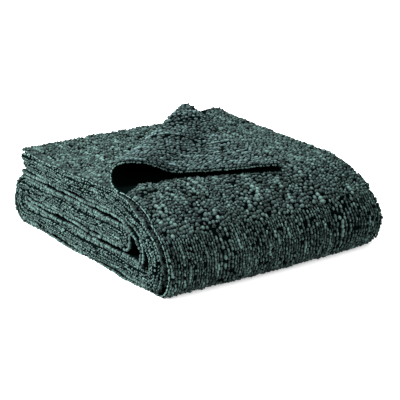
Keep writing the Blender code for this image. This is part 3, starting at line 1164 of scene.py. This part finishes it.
class BLANKET_OT_face_yarns(bpy.types.Operator):
    """Sets the raised yarns on the top"""

    bl_idname = "blanket.face_yarns"
    bl_label = "Top yarns"

    def execute(self, context):
        weave = weave_of(context, "top")
        _, last = weave.stations("outer")
        across = (0.0, weave.cloth.width_at[last])
        along = (0, weave.runs("front")[0] + BROW_STEPS)
        # Full yarns only outside the strips of painted shadow; the next row sets small dark yarns
        # in the strip in front of the turned-back corner as painted shadow
        weave.columns(across, along, OUTSIDE, keep=clear_of_corner_and_painted_shade, **ACROSS_TOP)
        weave.columns(across, along, OUTSIDE, keep=in_shade, **IN_SHADE)
        keep_piece(weave, "top_yarns")
        return {"FINISHED"}


class BLANKET_OT_turn_yarns(bpy.types.Operator):
    """Sets the raised yarns round the front fold and the back fold"""

    bl_idname = "blanket.turn_yarns"
    bl_label = "Front and back yarns"

    def execute(self, context):
        weave = weave_of(context, "turns")
        _, last = weave.stations("outer")
        across = (0.0, weave.cloth.width_at[last])
        start, end = weave.runs("front")
        weave.columns(across, (start + BROW_STEPS, end), OUTSIDE, **ROUND_FRONT)
        weave.columns(across, weave.runs("back"), OUTSIDE, **ROUND_BACK)
        keep_piece(weave, "turn_yarns")
        return {"FINISHED"}


class BLANKET_OT_corner_yarns(bpy.types.Operator):
    """Sets the finer yarns on the turned-back corner and on the layer that it bares"""

    bl_idname = "blanket.corner_yarns"
    bl_label = "Corner yarns"

    def execute(self, context):
        weave = weave_of(context, "corner")
        widths, top = weave.cloth.width_at, weave.runs("top")
        _, last = weave.stations("outer")
        weave.columns((0.0, widths[last]), top, INSIDE, keep=on_corner, **ON_CORNER)
        keep_piece(weave, "corner_yarns", "underside")
        weave = weave_of(context, "second")
        first, last = weave.stations("second")
        weave.columns((widths[first], widths[last]), top, INSIDE, keep=bared, **ON_SECOND)
        # A dark strip on the second layer's selvedge: painted shade deep in the gap
        selvedge = (widths[last] - SECOND_SELVEDGE, widths[last])
        weave.columns(selvedge, (top[0], weave.runs("front")[1]), INSIDE, **SECOND_EDGE)
        keep_piece(weave, "second_layer_yarns")
        return {"FINISHED"}


class BLANKET_OT_side_yarns(bpy.types.Operator):
    """Sets the yarns on the folds of the open side and of the folded side"""

    bl_idname = "blanket.side_yarns"
    bl_label = "Side yarns"

    def execute(self, context):
        sides = (
            ("open", OPEN_FOLD_WIDTH, ON_OPEN_SIDE),
            ("folded", FOLDED_FOLD_WIDTH, ON_FOLDED_SIDE),
        )
        for name, reach, yarns in sides:
            weave = weave_of(context, name + " side")
            widths = weave.cloth.width_at
            first, last = weave.stations(name)
            across = (widths[first] - reach, widths[last] + reach)
            weave.columns(across, (0, weave.cloth.points.shape[1] - 1), OUTSIDE, **yarns)
            keep_piece(weave, name + "_side_yarns")
        return {"FINISHED"}


class BLANKET_OT_rim_yarns(bpy.types.Operator):
    """Sets the yarns along both selvedges and both hems"""

    bl_idname = "blanket.rim_yarns"
    bl_label = "Selvedge and hem yarns"

    def execute(self, context):
        weave = weave_of(context, "rims")
        last_i, last_j = (count - 1 for count in weave.cloth.points.shape[:2])
        _, front = weave.runs("front")
        _, outer = weave.stations("outer")
        rims = (
            # which edge, its grid place, its side, from, to, fullness, how much lighter
            (SELVEDGE, 0, -1.0, 0, front, 0.62, 0.35),
            (SELVEDGE, 0, -1.0, front, last_j, 1.25, 0.0),
            (SELVEDGE, last_i, 1.0, 0, front, 0.75, 0.30),
            (SELVEDGE, last_i, 1.0, front, last_j, 1.25, 0.0),
            (HEM, 0, -1.0, 0, outer, 0.8, 0.2),
            (HEM, 0, -1.0, outer, last_i, 1.9, 0.0),
            (HEM, last_j, 1.0, 0, last_i, 1.9, 0.0),
        )
        for rim in rims:
            weave.rim(*rim)
        keep_piece(weave, "rim_yarns")
        return {"FINISHED"}


class BLANKET_OT_stage(bpy.types.Operator):
    """Lays the floor and sets the lights and the camera"""

    bl_idname = "blanket.stage"
    bl_label = "Stage"

    def execute(self, context):
        self.floor()
        for name, place, size, power in LAMPS:
            self.light(name, place, size, power)
        self.world()
        self.camera()
        return {"FINISHED"}

    @staticmethod
    def floor():
        bpy.ops.mesh.primitive_plane_add(size=FLOOR_WIDTH, location=(0.0, 0.0, FLOOR_LEVEL))
        floor = bpy.context.object
        floor.name = "floor"
        floor.data.transform(floor.matrix_world)
        floor.matrix_world = Matrix.Identity(4)
        shading = Shading("pale_floor", FLOOR_ROUGHNESS)
        shading.colour(FLOOR_COLOUR)
        shading.shader.inputs["Emission Color"].default_value = WHITE
        shading.shader.inputs["Emission Strength"].default_value = FLOOR_GLOW
        floor.data.materials.append(shading.material)

    @staticmethod
    def light(name, place, size, power):
        data = bpy.data.lights.new(name, "AREA")
        data.size = size
        data.energy = power
        lamp = bpy.data.objects.new(name, data)
        lamp.location = place
        aim = LAMP_TARGET - Vector(place)
        lamp.rotation_euler = aim.to_track_quat("-Z", "Y").to_euler()
        bpy.context.scene.collection.objects.link(lamp)

    @staticmethod
    def world():
        world = bpy.data.worlds.new("studio")
        world.use_nodes = True
        sky = world.node_tree.nodes["Background"]
        sky.inputs["Color"].default_value = WHITE
        sky.inputs["Strength"].default_value = 1.0
        bpy.context.scene.world = world
        bpy.context.scene.view_settings.view_transform = "Standard"

    @staticmethod
    def camera():
        flat, high = math.cos(VIEW_ELEVATION), math.sin(VIEW_ELEVATION)
        back = Vector((math.sin(VIEW_AZIMUTH) * flat, -math.cos(VIEW_AZIMUTH) * flat, high))
        data = bpy.data.cameras.new("photo_view")
        data.sensor_width = SENSOR_MM
        data.lens = LENS_MM
        data.clip_end = FAR_CLIP
        camera = bpy.data.objects.new("photo_view", data)
        camera.location = VIEW_TARGET + back * VIEW_DISTANCE
        camera.rotation_euler = back.to_track_quat("Z", "Y").to_euler()
        bpy.context.scene.collection.objects.link(camera)
        bpy.context.scene.camera = camera


class BLANKET_PT_sidebar(bpy.types.Panel):
    """The blanket's settings and the buttons that build it"""

    bl_idname = "BLANKET_PT_sidebar"
    bl_label = "Folded waffle blanket"
    bl_space_type = "VIEW_3D"
    bl_region_type = "UI"
    bl_category = "Blanket"

    def draw(self, context):
        settings = context.scene.blanket_cloth
        for name in BlanketCloth.__annotations__:
            self.layout.prop(settings, name)
        for operator in OPERATORS:
            self.layout.operator(operator.bl_idname)


OPERATORS = (
    BLANKET_OT_cloth,
    BLANKET_OT_face_yarns,
    BLANKET_OT_turn_yarns,
    BLANKET_OT_corner_yarns,
    BLANKET_OT_side_yarns,
    BLANKET_OT_rim_yarns,
    BLANKET_OT_stage,
)
CLASSES = (BlanketCloth, *OPERATORS, BLANKET_PT_sidebar)


def register():
    for kind in CLASSES:
        bpy.utils.register_class(kind)
    bpy.types.Scene.blanket_cloth = bpy.props.PointerProperty(type=BlanketCloth)


def unregister():
    del bpy.types.Scene.blanket_cloth
    for kind in reversed(CLASSES):
        bpy.utils.unregister_class(kind)


def main():
    register()
    bpy.ops.blanket.cloth()
    bpy.ops.blanket.face_yarns()
    bpy.ops.blanket.turn_yarns()
    bpy.ops.blanket.corner_yarns()
    bpy.ops.blanket.side_yarns()
    bpy.ops.blanket.rim_yarns()
    bpy.ops.blanket.stage()


if __name__ == "__main__":
    main()
